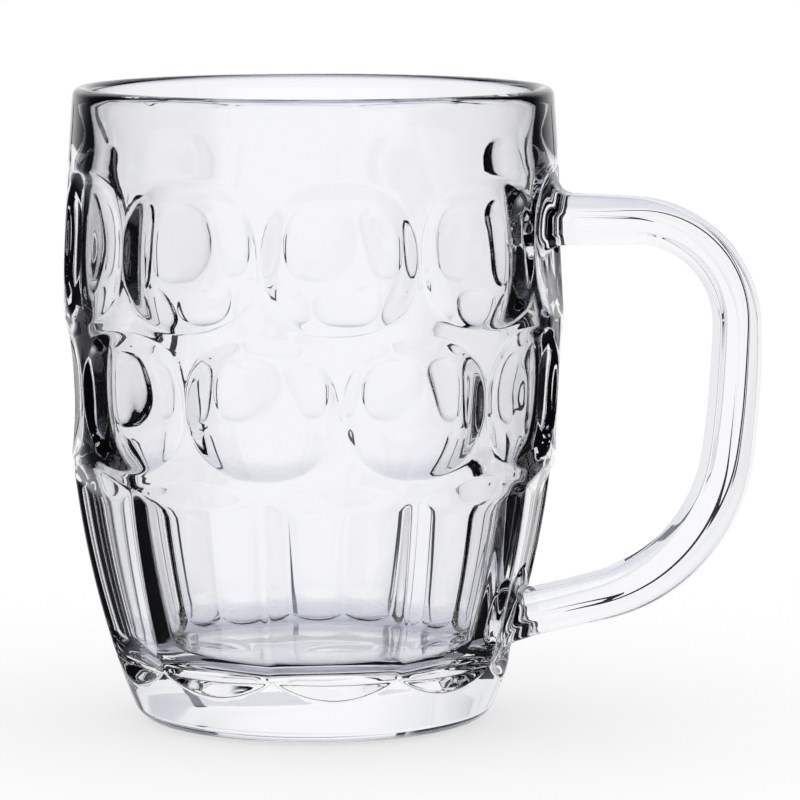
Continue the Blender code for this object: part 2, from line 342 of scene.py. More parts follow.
# %% [markdown]
# ## Where the handle is fused on
# At a weld the glass of the handle runs into the glass of the bowl. It could simply be pushed
# into the wall, but glass shows what overlaps inside it. The two stay separate pieces here, so
# the grid is bent once more: a block of cells under each weld takes the weld's rounded outline,
# and the weld is later grown from exactly those vertices.

# %% weld outlines on the wall
BLOCK_COLUMNS = 11
BLOCK_ROWS = 9
LOOP = 4 * (BLOCK_COLUMNS + BLOCK_ROWS)
OUTLINE_SQUARENESS = 3.0
BLOCK_FADE = 1.6
# the outlines reach past the solid welds, or stop short of them, by these
UPPER_SAG = 0.0020
LOWER_TRIM = 0.0002
WELD_RISE = 0.0034
MIDDLE_COLUMN = COUNT // 2
upper_low, upper_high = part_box("upper_weld")
lower_low, lower_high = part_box("lower_weld")


def press_outline(low, high, half_width):
    """Bends the grid so that a block of cells fills a rounded outline. Gives its middle row."""
    middle, half_height = (low + high) / 2, (high - low) / 2
    across = half_width / float(outer_radius(middle))
    centre_row = int(np.argmin(np.abs(wall_level[:, MIDDLE_COLUMN] - middle)))
    p = (column_index[None, :] - MIDDLE_COLUMN) / BLOCK_COLUMNS
    q = (centre_row - np.arange(len(outside))[:, None]) / BLOCK_ROWS
    size = np.maximum(np.maximum(np.abs(p), np.abs(q)), TINY)
    norm = rounded_norm(p / size, q / size, OUTLINE_SQUARENESS)
    share = 1 - smooth_share(size, 1.0, BLOCK_FADE)
    wall_angle[:] += share * (across * p / norm - wall_angle)
    wall_level[:] += share * (middle + half_height * q / norm - wall_level)
    return centre_row


upper_row = press_outline(upper_low.z - UPPER_SAG, upper_high.z + WELD_RISE, upper_high.y)
lower_row = press_outline(lower_low.z + LOWER_TRIM, lower_high.z + WELD_RISE, lower_high.y)
print("weld outlines of", LOOP, "vertices, at rows", upper_row, "and", lower_row)

# %% [markdown]
# ## The bowl
# The bowl is one closed skin: floor, inside wall, lip, outside wall, heel and foot. It could be
# a thin shell with a Solidify modifier, but then the inside would copy the outside. In the real
# mug the inside follows the mould only partly: well behind the dimples, and hardly behind the
# panels, where the glass is thick. So both sides get rings of their own.

# %% points of the bowl
INNER_CREASE = 0.0012
DIMPLE_FOLLOW = 0.36
PANEL_FOLLOW = 0.10
DISC_RINGS = 8


def ring_points(radius, angle, z):
    """Points at a radius, an angle and a level."""
    x, y = radius * np.cos(angle), radius * np.sin(angle)
    return np.stack([x, y, np.broadcast_to(z, radius.shape)], -1)


def wall_points(angle, z):
    """The pressed outside."""
    depth = dimples(angle, z, hollow) + panel(angle, z, OUTER_CREASE)
    return ring_points(outer_radius(z) - depth, angle, z)


def inside_points(z):
    """A ring of the inside."""
    level = np.full(COUNT, z)
    depth = DIMPLE_FOLLOW * dimples(even_angle, level, swelling)
    depth += PANEL_FOLLOW * panel(even_angle, level, INNER_CREASE)
    return ring_points(inner_radius(level) - depth, even_angle, level)


def arc_rings(centre, level, radius, start, end, steps):
    """Rings of a rounded edge, both ends left out."""
    rings = []
    for i in range(1, steps):
        turn = start + (end - start) * i / steps
        reach = np.full(COUNT, centre + radius * math.cos(turn))
        rings.append(ring_points(reach, even_angle, level + radius * math.sin(turn)))
    return rings


def disc_rings(radius, level):
    """Rings of a flat disc, from its middle out."""
    return [ring_points(np.full(COUNT, radius * i / DISC_RINGS), even_angle, level)
            for i in range(1, DISC_RINGS + 1)]


print("inside follows", DIMPLE_FOLLOW, "of a dimple and", PANEL_FOLLOW, "of a panel")

# %% rings of the whole bowl
FLOOR_THICKNESS = 0.0135
FLOOR_RADIUS = 0.0070
INSIDE_ROWS = 72
ARC_STEPS = 10
LIP_STEPS = 12
DOWN = -math.pi / 2
floor_level = FLOOR_THICKNESS + FLOOR_RADIUS
floor_lean = lean(floor_level)
floor_centre = float(inner_radius(floor_level)) - FLOOR_RADIUS / math.cos(floor_lean)
corner_end = floor_level + FLOOR_RADIUS * math.sin(-floor_lean)
lip_centre = RIM_RADIUS - LIP_RADIUS
heel_lean = lean(HEEL_RADIUS)
heel_centre = float(outer_radius(HEEL_RADIUS)) - HEEL_RADIUS / math.cos(heel_lean)

skin = disc_rings(floor_centre, FLOOR_THICKNESS)
skin += arc_rings(floor_centre, floor_level, FLOOR_RADIUS, DOWN, -floor_lean, ARC_STEPS)
for i in range(INSIDE_ROWS):
    skin.append(inside_points(corner_end + (LIP_LEVEL - corner_end) * i / INSIDE_ROWS))
skin += arc_rings(lip_centre, LIP_LEVEL, LIP_RADIUS, math.pi, 0.0, LIP_STEPS)
wall_start = len(skin)
skin += list(wall_points(wall_angle, wall_level))
skin += arc_rings(heel_centre, HEEL_RADIUS, HEEL_RADIUS, -heel_lean, DOWN, ARC_STEPS)
skin += disc_rings(heel_centre, 0.0)[::-1]
print("bowl skin:", len(skin), "rings")

# %% mesh helpers
SHARP_ANGLE = math.radians(55.0)


def closed_skin(rings, start, end):
    """Vertices and faces of a skin through rings, closed by a fan to a point at each end."""
    count = len(rings[0])
    points = np.concatenate([*rings, [start, end]])
    here = np.arange(count)
    after = (here + 1) % count
    faces = []
    for r in range(len(rings) - 1):
        a, b = r * count, (r + 1) * count
        faces += np.stack([a + here, b + here, b + after, a + after], -1).tolist()
    first, last = len(points) - 2, len(points) - 1
    faces += [[first, i, j] for i, j in zip(here.tolist(), after.tolist())]
    base = (len(rings) - 1) * count
    faces += [[last, base + j, base + i] for i, j in zip(here.tolist(), after.tolist())]
    return points, faces


def mesh_piece(name, points, faces):
    """An object of smooth faces, with creases kept sharp."""
    mesh = bpy.data.meshes.new(name)
    mesh.from_pydata(np.asarray(points).tolist(), [], faces)
    mesh.validate()
    mesh.shade_smooth()
    mesh.set_sharp_from_angle(angle=SHARP_ANGLE)
    piece = bpy.data.objects.new(name, mesh)
    bpy.context.scene.collection.objects.link(piece)
    return piece


print("edges over", round(math.degrees(SHARP_ANGLE)), "degrees stay sharp")

# %% make the bowl
points, faces = closed_skin(skin, (0.0, 0.0, FLOOR_THICKNESS), (0.0, 0.0, 0.0))
bowl = mesh_piece("bowl_glass", points, faces)


def block_faces(row):
    """Faces of the bowl that lie under a weld, row by row."""
    found = []
    for r in range(row - BLOCK_ROWS, row + BLOCK_ROWS):
        for c in range(MIDDLE_COLUMN - BLOCK_COLUMNS, MIDDLE_COLUMN + BLOCK_COLUMNS):
            found.append((wall_start + r) * COUNT + c)
    return found


def bowl_quad(face):
    """The four vertices of one of the bowl's wall faces."""
    r, c = divmod(face, COUNT)
    a, b = r * COUNT, (r + 1) * COUNT
    d = (c + 1) % COUNT
    return [a + c, b + c, b + d, a + d]


print("bowl:", len(points), "vertices,", len(faces), "faces")

# %% [markdown]
# ## The handle
# The handle is a strap of glass with a flat back, bevelled flanks and a rounder inside, bent
# to a D. It could be a curve with a bevel object, but its thickness changes along the way: it
# is thinner round the shoulder and fuller at the toe. So a section is carried along the route
# ring by ring.

# %% stretches of a route
ROUTE_STEP = 0.0011


def arc_points(centre, radius, start, end):
    """Stations (x, z, way) of an arc that runs clockwise."""
    steps = max(2, round(abs(end - start) * radius / ROUTE_STEP))
    turns = start + (end - start) * np.arange(steps + 1) / steps
    return [(centre[0] + radius * math.cos(t), centre[1] + radius * math.sin(t), t - math.pi / 2)
            for t in turns]


def straight_points(start, end):
    """Stations (x, z, way) of a straight stretch."""
    steps = max(2, round(math.dist(start, end) / ROUTE_STEP))
    run, rise = end[0] - start[0], end[1] - start[1]
    way = math.atan2(rise, run)
    return [(start[0] + run * i / steps, start[1] + rise * i / steps, way)
            for i in range(steps + 1)]


def wall_face(z):
    """Distance from the axis to the pressed wall under the handle."""
    level = np.array([z])
    return float(np.hypot(*wall_points(np.zeros(1), level)[0][:2]))


print("a station every", round(ROUTE_STEP * 1000, 1), "mm of the handle")

# %% route of the handle
HANDLE_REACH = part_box("handle")[1].x
HANDLE_THICK = 0.0088
UPPER_RAISE = 0.0046
LOWER_RAISE = 0.0112
SHOULDER_RADIUS = 0.0196
TOE_RADIUS = 0.0331
GRIP_LEAN = math.radians(7.5)
RUN_SLOPE = math.radians(15.0)
WELD_LENGTH = 0.0057

upper_level = UPPER_MIDDLE + UPPER_RAISE
lower_level = HEEL_BAND + LOWER_RAISE
upper_wall, lower_wall = wall_face(upper_level), wall_face(lower_level)
upper_end = (upper_wall + WELD_LENGTH, upper_level)
lower_end = (lower_wall + WELD_LENGTH * math.cos(RUN_SLOPE),
             lower_level + WELD_LENGTH * math.sin(RUN_SLOPE))

grip = HANDLE_REACH - HANDLE_THICK / 2
toe_end = math.pi / 2 - RUN_SLOPE
shoulder = (grip - SHOULDER_RADIUS, upper_level - SHOULDER_RADIUS)
toe_drop = TOE_RADIUS * (math.sin(toe_end) - math.sin(GRIP_LEAN))
toe_draw = TOE_RADIUS * (math.cos(GRIP_LEAN) - math.cos(toe_end))
run_fall = (grip - toe_draw - lower_wall) * math.tan(RUN_SLOPE)
grip_drop = shoulder[1] - lower_level - toe_drop - run_fall
grip_curl = math.sin(GRIP_LEAN) - (1 - math.cos(GRIP_LEAN)) * math.tan(RUN_SLOPE)
grip_radius = grip_drop / grip_curl
grip_centre = (grip - grip_radius, shoulder[1])
toe = (grip_centre[0] + (grip_radius - TOE_RADIUS) * math.cos(GRIP_LEAN),
       grip_centre[1] - (grip_radius - TOE_RADIUS) * math.sin(GRIP_LEAN))

bend = arc_points(shoulder, SHOULDER_RADIUS, math.pi / 2, 0.0)
back = arc_points(grip_centre, grip_radius, 0.0, -GRIP_LEAN)
turn = arc_points(toe, TOE_RADIUS, -GRIP_LEAN, -toe_end)
upper_run = straight_points(upper_end, bend[0][:2])
lower_run = straight_points(turn[-1][:2], lower_end)
runs = [upper_run, bend, back, turn, lower_run]
route = upper_run[:1]
for run in runs:
    route += run[1:]
strides = [math.dist(a[:2], b[:2]) for a, b in zip(route, route[1:])]
distance = np.concatenate([[0.0], np.cumsum(strides)])
print("handle route:", len(route), "stations,", round(distance[-1] * 1000, 1), "mm")

# %% corners of the section
CORNER_STEPS = 6
CORNER_LIMIT = 0.45


def rounded_corner(before, corner, after, radius):
    """A corner of the section replaced by a curve that leaves both sides smoothly."""
    corner, before, after = (np.array(p) for p in (corner, before, after))
    start = corner + (before - corner) * min(CORNER_LIMIT, radius / math.dist(before, corner))
    end = corner + (after - corner) * min(CORNER_LIMIT, radius / math.dist(after, corner))
    shares = np.arange(CORNER_STEPS + 1)[:, None] / CORNER_STEPS
    return (1 - shares) ** 2 * start + 2 * shares * (1 - shares) * corner + shares**2 * end


def resampled(line, steps):
    """Points along a line, closer together where it turns."""
    run = np.concatenate([[0.0], np.cumsum(np.sqrt(np.hypot(*np.diff(line, axis=0).T)))])
    marks = np.linspace(0.0, run[-1], steps + 1)
    return np.stack([np.interp(marks, run, line[:, 0]), np.interp(marks, run, line[:, 1])], -1)


print("a corner takes", CORNER_LIMIT, "of a side at most")

# %% section of the handle
HANDLE_DEPTH = 0.0140
OUTER_FLAT = 0.0070
INNER_FLAT = 0.0100
OUTER_BEVEL_SHARE = 0.39
INNER_BEVEL_SHARE = 0.23
CORNER_RADIUS = 0.0004
RIDGE_RADIUS = 0.0007
QUARTER = LOOP // 4


def strap_section(thick):
    """One ring of the section as (inwards, sideways), from the back round to the back."""
    back_mid, face_mid = (-thick / 2, 0.0), (thick / 2, 0.0)
    back_edge = (-thick / 2, OUTER_FLAT / 2)
    ridge = (-thick / 2 + OUTER_BEVEL_SHARE * thick, HANDLE_DEPTH / 2)
    crease = (thick / 2 - INNER_BEVEL_SHARE * thick, HANDLE_DEPTH / 2)
    face_edge = (thick / 2, INNER_FLAT / 2)
    flank_mid = ((ridge[0] + crease[0]) / 2, HANDLE_DEPTH / 2)
    first = np.concatenate([[back_mid],
                            rounded_corner(back_mid, back_edge, ridge, CORNER_RADIUS),
                            rounded_corner(back_edge, ridge, crease, RIDGE_RADIUS),
                            [flank_mid]])
    second = np.concatenate([[flank_mid],
                             rounded_corner(ridge, crease, face_edge, CORNER_RADIUS),
                             rounded_corner(crease, face_edge, face_mid, CORNER_RADIUS),
                             [face_mid]])
    half = np.concatenate([resampled(first, QUARTER)[:-1], resampled(second, QUARTER)])
    mirrored = half[1:-1][::-1] * (1, -1)
    return np.concatenate([half, mirrored])


print("section of", len(strap_section(HANDLE_THICK)), "vertices")

# %% carry the section along the route
UPPER_THICK = 0.0093
SHOULDER_THICK = 0.0076
TOE_THICK = 0.0098
LOWER_THICK = 0.0084
run_starts = np.cumsum([0] + [len(run) - 1 for run in runs])
bend_mid, back_mid, turn_mid = (
    distance[start + len(run) // 2] for start, run in zip(run_starts[1:4], runs[1:4]))
total = distance[-1]
thick_knots = ((0.0, UPPER_THICK), (bend_mid, SHOULDER_THICK), (back_mid, HANDLE_THICK),
               (turn_mid, TOE_THICK), (total, LOWER_THICK))


def smooth_between(knots, mark):
    """A value at a mark, easing from each knot to the next."""
    for (m0, v0), (m1, v1) in zip(knots, knots[1:]):
        if mark <= m1:
            return v0 + (v1 - v0) * float(smooth_share(mark, m0, m1))
    return knots[-1][1]


def section_at(x, z, way, thick):
    """A ring of the strap, square to the route. Inwards is to the right of the way."""
    section = strap_section(thick)
    ring_x = x + section[:, 0] * math.sin(way)
    ring_z = z - section[:, 0] * math.cos(way)
    return np.stack([ring_x, section[:, 1], ring_z], -1)


handle_rings = [section_at(x, z, way, smooth_between(thick_knots, mark))
                for (x, z, way), mark in zip(route, distance)]
upper_end_middle = (upper_end[0], 0.0, upper_end[1])
lower_end_middle = (lower_end[0], 0.0, lower_end[1])
points, faces = closed_skin(handle_rings, upper_end_middle, lower_end_middle)
handle = mesh_piece("handle_glass", points, faces)
print("handle:", len(handle_rings), "rings,", len(faces), "faces")

# %% [markdown]
# ## The welds
# Each weld is a collar of glass that swells from the strap's end out to the wall in a hollow
# curve. It could be a boolean of the handle and the bowl, but then nothing would be left to
# take apart. Here it is lofted: every vertex of the outline on the wall is joined to the
# matching vertex of the strap by a curve that leaves the wall flat and enters the strap straight.

# %% curves of a weld
LOFT_STEPS = 14
WALL_PULL = 0.0030
WALL_LIFT = 0.15
STRAP_PULL = 0.0031
FILLET_SHARE = 0.5


def outline_indices(row, flip):
    """The block's outer vertices in the order of the strap's ring, from its back round."""
    top, low = row - BLOCK_ROWS, row + BLOCK_ROWS
    left, right = MIDDLE_COLUMN - BLOCK_COLUMNS, MIDDLE_COLUMN + BLOCK_COLUMNS
    loop = [(top, c) for c in range(MIDDLE_COLUMN, right)]
    loop += [(r, right) for r in range(top, low)]
    loop += [(low, c) for c in range(right, left, -1)]
    loop += [(r, left) for r in range(low, top, -1)]
    loop += [(top, c) for c in range(left, MIDDLE_COLUMN)]
    if flip:
        half = LOOP // 2
        loop = loop[half:] + loop[:half]
        loop = [loop[0]] + loop[:0:-1]
    return [(wall_start + r) * COUNT + c for r, c in loop]


def unit(vectors):
    return vectors / np.linalg.norm(vectors, axis=1)[:, None]


def weld_rings(rim, ring, way):
    """Rings of the hollow curve from the outline on the wall to the strap's end."""
    out = unit(rim * (1, 1, 0))
    inward = rim.mean(0) - rim
    inward = unit(inward - out * np.sum(inward * out, axis=1)[:, None])
    spread = np.linalg.norm(np.cross(ring - rim, way), axis=1)[:, None]
    pull = np.minimum(WALL_PULL, FILLET_SHARE * spread)
    leave = rim + inward * pull + out * WALL_LIFT * pull
    enter = ring - way * STRAP_PULL
    rings = []
    for t in np.arange(LOFT_STEPS + 1) / LOFT_STEPS:
        near_wall = (1 - t) ** 3 * rim + 3 * t * (1 - t) ** 2 * leave
        rings.append(near_wall + 3 * t * t * (1 - t) * enter + t**3 * ring)
    return rings


print("a weld has", LOFT_STEPS + 1, "rings of", LOOP)


# %% cap of a weld on the wall
def wall_cap(row, loop, bowl_points, first):
    """The bowl's own faces under a weld, turned round, and the vertices inside the loop."""
    number = {v: i for i, v in enumerate(loop)}
    cap, extra = [], []
    for face in block_faces(row):
        quad = []
        for v in bowl_quad(face):
            if v not in number:
                number[v] = first + len(extra)
                extra.append(bowl_points[v])
            quad.append(number[v])
        cap.append(quad[::-1])
    return cap, extra


print("a cap has", len(block_faces(upper_row)), "faces")

# %% loft the welds
SEAM_GAP = 0.00001


def weld(name, row, ring, middle, slope, flip):
    """A collar from the outline on the wall to a ring at the strap's end, and its seam faces."""
    way = np.array([math.cos(slope), 0.0, math.sin(slope)])
    bowl_points = np.concatenate(skin) + way * SEAM_GAP
    loop = outline_indices(row, flip)
    rings = weld_rings(bowl_points[loop], ring - way * SEAM_GAP, way)
    points = np.concatenate([*rings, [middle - way * SEAM_GAP]])
    here = np.arange(LOOP)
    after = (here + 1) % LOOP
    # the loop runs the other way round at the upper weld, so its faces are turned to point out
    if not flip:
        here, after = after, here
    faces = []
    for r in range(LOFT_STEPS):
        a, b = r * LOOP, (r + 1) * LOOP
        faces += np.stack([a + here, a + after, b + after, b + here], -1).tolist()
    sides = len(faces)
    tip, last = len(points) - 1, LOFT_STEPS * LOOP
    faces += [[tip, last + i, last + j] for i, j in zip(here.tolist(), after.tolist())]
    cap, extra = wall_cap(row, loop, bowl_points, len(points))
    faces += cap
    piece = mesh_piece(name, np.concatenate([points, extra]), faces)
    return piece, range(sides, len(faces))


upper_weld, upper_seams = weld(
    "upper_weld_glass", upper_row, handle_rings[0], upper_end_middle, 0.0, False)
lower_weld, lower_seams = weld(
    "lower_weld_glass", lower_row, handle_rings[-1], lower_end_middle, RUN_SLOPE, True)
print("welds:", len(upper_weld.data.polygons), "and", len(lower_weld.data.polygons), "faces")

# %% [markdown]
# ## The glass
# One recipe serves all the glass: clear, faintly cool, smooth enough to be sharp. A plain glass
# shader would do, but it looks too perfect. So a shared node group adds what pressed glass
# has: a slow waviness from the mould, and faint streaks where the tint and the polish vary.
# Where two pieces are fused there is no surface to see, so the faces of a seam get a glass
# that bends no light.

# %% values of the finish
STREAK_STRETCH = (1.0, 1.0, 0.35)
STREAK_DETAIL, WAVE_DETAIL = 3.0, 1.0
STREAK_LOW, STREAK_HIGH = 0.35, 0.75
COOL_TINT = (0.990, 0.991, 1.0, 1.0)
STREAK_TINT = (0.978, 0.980, 0.999, 1.0)
FINISH_INPUTS = (("Wave Size", "Float", 90.0), ("Streak Size", "Float", 40.0),
                 ("Polish", "Float", 0.0), ("Haze", "Float", 0.004),
                 ("Tint", "Color", COOL_TINT), ("Streak Tint", "Color", STREAK_TINT))
FINISH_OUTPUTS = (("Color", "Color"), ("Roughness", "Float"), ("Height", "Float"))


def noise(tree, place, size, detail):
    """A noise whose size comes from a socket."""
    node = tree.nodes.new("ShaderNodeTexNoise")
    node.inputs["Detail"].default_value = detail
    tree.links.new(place, node.inputs["Vector"])
    tree.links.new(size, node.inputs["Scale"])
    return node.outputs["Fac"]


print("finish inputs:", [name for name, _, _ in FINISH_INPUTS])


# %% shared finish group
def pressed_finish():
    """A group that gives the tint, the polish and the waviness of pressed glass."""
    group = bpy.data.node_groups.new("pressed_glass_finish", "ShaderNodeTree")
    for name, kind, value in FINISH_INPUTS:
        socket = group.interface.new_socket(name, in_out="INPUT", socket_type="NodeSocket" + kind)
        socket.default_value = value
    for name, kind in FINISH_OUTPUTS:
        group.interface.new_socket(name, in_out="OUTPUT", socket_type="NodeSocket" + kind)
    nodes, links = group.nodes, group.links
    given = nodes.new("NodeGroupInput")
    out = nodes.new("NodeGroupOutput")
    place = nodes.new("ShaderNodeTexCoord")
    stretch = nodes.new("ShaderNodeMapping")
    stretch.inputs["Scale"].default_value = STREAK_STRETCH
    links.new(place.outputs["Object"], stretch.inputs["Vector"])
    stretched = stretch.outputs["Vector"]
    streak = noise(group, stretched, given.outputs["Streak Size"], STREAK_DETAIL)
    wave = noise(group, stretched, given.outputs["Wave Size"], WAVE_DETAIL)
    tint = nodes.new("ShaderNodeMix")
    tint.data_type = "RGBA"
    links.new(streak, tint.inputs["Factor"])
    links.new(given.outputs["Tint"], tint.inputs["A"])
    links.new(given.outputs["Streak Tint"], tint.inputs["B"])
    polish = nodes.new("ShaderNodeMapRange")
    polish.inputs["From Min"].default_value = STREAK_LOW
    polish.inputs["From Max"].default_value = STREAK_HIGH
    links.new(streak, polish.inputs["Value"])
    links.new(given.outputs["Polish"], polish.inputs["To Min"])
    links.new(given.outputs["Haze"], polish.inputs["To Max"])
    links.new(tint.outputs["Result"], out.inputs["Color"])
    links.new(polish.outputs["Result"], out.inputs["Roughness"])
    links.new(wave, out.inputs["Height"])
    return group


finish_group = pressed_finish()
print("finish group sockets:", [s.name for s in finish_group.interface.items_tree])

# %% pressed glass
GLASS_IOR = 1.52


def pressed_glass(name, wave_size, wave_height, streak_size, haze):
    """Clear glass with its own waviness and streaks."""
    material = bpy.data.materials.new(name)
    material.use_nodes = True
    nodes, links = material.node_tree.nodes, material.node_tree.links
    shader = nodes["Principled BSDF"]
    shader.inputs["IOR"].default_value = GLASS_IOR
    shader.inputs["Transmission Weight"].default_value = 1.0
    finish = nodes.new("ShaderNodeGroup")
    finish.node_tree = finish_group
    finish.inputs["Wave Size"].default_value = wave_size
    finish.inputs["Streak Size"].default_value = streak_size
    finish.inputs["Haze"].default_value = haze
    bump = nodes.new("ShaderNodeBump")
    bump.inputs["Strength"].default_value = 1.0
    bump.inputs["Distance"].default_value = wave_height
    links.new(finish.outputs["Color"], shader.inputs["Base Color"])
    links.new(finish.outputs["Roughness"], shader.inputs["Roughness"])
    links.new(finish.outputs["Height"], bump.inputs["Height"])
    links.new(bump.outputs["Normal"], shader.inputs["Normal"])
    return material


bowl_finish = pressed_glass(
    "bowl_pressed_glass", wave_size=90.0, wave_height=0.00005, streak_size=40.0, haze=0.004)
handle_finish = pressed_glass(
    "handle_drawn_glass", wave_size=60.0, wave_height=0.00003, streak_size=30.0, haze=0.004)
weld_finish = pressed_glass(
    "weld_fused_glass", wave_size=160.0, wave_height=0.00008, streak_size=60.0, haze=0.006)
print("glass bends light by", GLASS_IOR)

# %% fused seam
NO_BEND = 1.0


def fused_seam():
    """Glass against glass: light passes straight through."""
    material = bpy.data.materials.new("fused_seam")
    material.use_nodes = True
    shader = material.node_tree.nodes["Principled BSDF"]
    shader.inputs["Base Color"].default_value = (1.0, 1.0, 1.0, 1.0)
    shader.inputs["Roughness"].default_value = 0.0
    shader.inputs["IOR"].default_value = NO_BEND
    shader.inputs["Transmission Weight"].default_value = 1.0
    return material


seam = fused_seam()
print("a seam bends light by", NO_BEND)

# %% put the glass on the pieces
SEAM_SLOT = 1


def glaze(piece, finish, seam_faces):
    """Gives a piece its glass, and the seam to the faces that are fused."""
    piece.data.materials.append(finish)
    piece.data.materials.append(seam)
    for face in seam_faces:
        piece.data.polygons[face].material_index = SEAM_SLOT


# the last two fans of the handle's faces close its ends
handle_faces = len(handle.data.polygons)
bowl_seams = block_faces(upper_row) + block_faces(lower_row)
glaze(bowl, bowl_finish, bowl_seams)
glaze(handle, handle_finish, range(handle_faces - 2 * LOOP, handle_faces))
glaze(upper_weld, weld_finish, upper_seams)
glaze(lower_weld, weld_finish, lower_seams)
print("seam faces on the bowl:", len(bowl_seams))

# %% [markdown]
# ## The floor
# The mug stands on a plain white table with a soft shadow. A big plane would do, but its edge
# would show. Here a disc fades out into the white sky. To light bent by the glass, the table near
# the mug is painted a cool grey shade. Light that was reflected in the glass sees the table only
# close to the mug, and past that the dark room that is made with the sky.

# %% node helpers
BETWEEN_BOUNCES = 0.5


def math_node(tree, operation, *values):
    """One Math node fed by sockets or plain numbers."""
    node = tree.nodes.new("ShaderNodeMath")
    node.operation = operation
    for slot, value in zip(node.inputs, values):
        if isinstance(value, (int, float)):
            slot.default_value = value
        else:
            tree.links.new(value, slot)
    return node.outputs["Value"]


def fading(tree, value, start, end, low=0.0, high=1.0):
    """A soft step from low to high as the value goes from start to end."""
    node = tree.nodes.new("ShaderNodeMapRange")
    node.interpolation_type = "SMOOTHSTEP"
    for name, number in (("From Min", start), ("From Max", end), ("To Min", low), ("To Max", high)):
        node.inputs[name].default_value = number
    tree.links.new(value, node.inputs["Value"])
    return node.outputs["Result"]


def mixed(tree, share, first, second):
    """A blend of two shaders."""
    node = tree.nodes.new("ShaderNodeMixShader")
    tree.links.new(share, node.inputs["Fac"])
    tree.links.new(first, node.inputs[1])
    tree.links.new(second, node.inputs[2])
    return node.outputs["Shader"]


def was_reflected(tree, rays):
    """1 for light that was reflected on its way, by a face of the glass or inside it."""
    return math_node(tree, "GREATER_THAN", rays.outputs["Glossy Depth"], BETWEEN_BOUNCES)


print("light counts as reflected after one bounce")

# %% table material
FLOOR_REACH = 0.20
FLOOR_WHITE = (0.98, 0.98, 0.98, 1.0)
# painted shade: the cool grey that light bent by the glass sees on the table
FLOOR_PAINTED_SHADE = (0.58, 0.61, 0.70, 1.0)
SHADOW_CLEAR = 0.55
SHADOW_REACH = 0.060
MIRRORED_REACH = 0.062
MIRRORED_FADE = 0.004


def diffuse(tree, colour):
    node = tree.nodes.new("ShaderNodeBsdfDiffuse")
    node.inputs["Color"].default_value = colour
    return node.outputs["BSDF"]


def table_material():
    """White to the camera, a painted grey shade to the glass, and clearer the further out it is."""
    material = bpy.data.materials.new("white_table")
    material.use_nodes = True
    tree = material.node_tree
    tree.nodes.clear()
    out = tree.nodes.new("ShaderNodeOutputMaterial")
    rays = tree.nodes.new("ShaderNodeLightPath")
    clear = tree.nodes.new("ShaderNodeBsdfTransparent").outputs["BSDF"]
    place = tree.nodes.new("ShaderNodeTexCoord")
    length = tree.nodes.new("ShaderNodeVectorMath")
    length.operation = "LENGTH"
    tree.links.new(place.outputs["Object"], length.inputs[0])
    reach = length.outputs["Value"]
    # light bent by the glass sees the table in a painted grey shade, and the camera sees it white
    shade, white = diffuse(tree, FLOOR_PAINTED_SHADE), diffuse(tree, FLOOR_WHITE)
    table = mixed(tree, rays.outputs["Is Camera Ray"], shade, white)
    faint = fading(tree, reach, SHADOW_REACH, FLOOR_REACH, SHADOW_CLEAR, 1.0)
    table = mixed(tree, faint, table, clear)
    far = fading(tree, reach, MIRRORED_REACH, MIRRORED_REACH + MIRRORED_FADE)
    unseen = math_node(tree, "MULTIPLY", was_reflected(tree, rays), far)
    table = mixed(tree, unseen, table, clear)
    tree.links.new(table, out.inputs["Surface"])
    return material


table = table_material()
print("table of", len(table.node_tree.nodes), "nodes")

# %% white floor
FLOOR_SIDES = 96
FLOOR_DROP = 0.0002
bpy.ops.mesh.primitive_circle_add(
    vertices=FLOOR_SIDES, radius=FLOOR_REACH, fill_type="NGON", location=(0, 0, -FLOOR_DROP))
floor = bpy.context.object
floor.name = "white_floor"
floor.data.materials.append(table)
print("floor radius", FLOOR_REACH)

# %% [markdown]
# ## The black band behind the handle
# A photographer draws the edge of a glass handle by holding something black behind it. The
# line could be painted on the glass, but it would be wrong from every other side. Here a
# narrow strip of felt follows the handle's route a little behind it. Only light that is bent
# by glass sees it, so it shades nothing and the camera doesn't show it.

# %% band of felt
FELT = (0.012, 0.012, 0.014, 1.0)
BAND_BEHIND = 0.032
BAND_START, BAND_END = 0.0030, 0.0080


def felt_material():
    material = bpy.data.materials.new("black_felt")
    material.use_nodes = True
    shader = material.node_tree.nodes["Principled BSDF"]
    shader.inputs["Base Color"].default_value = FELT
    shader.inputs["Roughness"].default_value = 1.0
    shader.inputs["Specular IOR Level"].default_value = 0.0
    return material


def band_points():
    """Pairs of points along the band, which narrows to nothing at both ends of the handle."""
    behind = (aim - stand).normalized() * BAND_BEHIND
    points = []
    for (x, z, way), mark in zip(route, distance):
        begun = smooth_share(mark, 0.0, bend_mid)
        ended = smooth_share(mark, turn_mid, total)
        width = (BAND_END - BAND_START) * float(begun * (1 - ended))
        for inwards in (BAND_START, BAND_START + width):
            edge = Vector((x + math.sin(way) * inwards, 0.0, z - math.cos(way) * inwards))
            points.append(edge + behind)
    return points


edges = band_points()
strips = [(i, i + 1, i + 3, i + 2) for i in range(0, len(edges) - 2, 2)]
band_mesh = bpy.data.meshes.new("handle_card")
band_mesh.from_pydata(edges, [], strips)
band_mesh.materials.append(felt_material())
band = bpy.data.objects.new("handle_card", band_mesh)
bpy.context.scene.collection.objects.link(band)
band.visible_camera = False
band.visible_diffuse = False
band.visible_shadow = False
print("band", round((BAND_END - BAND_START) * 1000, 1), "mm wide at most")

# %% [markdown]
# ## The sky
# Clear glass is drawn by what stands around it, and in an all-white room it would vanish. A
# studio stands black cards at its sides. Cards could be planes here too, but they would show
# through the near wall as plain dark shapes. So the sky holds two rooms. Light that goes
# straight through the glass sees white, with a cool grey low down and a thin dark stripe at
# each side. Light that was reflected by the glass sees dark sides, and this puts black
# crescents on the rims of the dimples and leaves their middles clear. The camera and the
# floor see plain white.

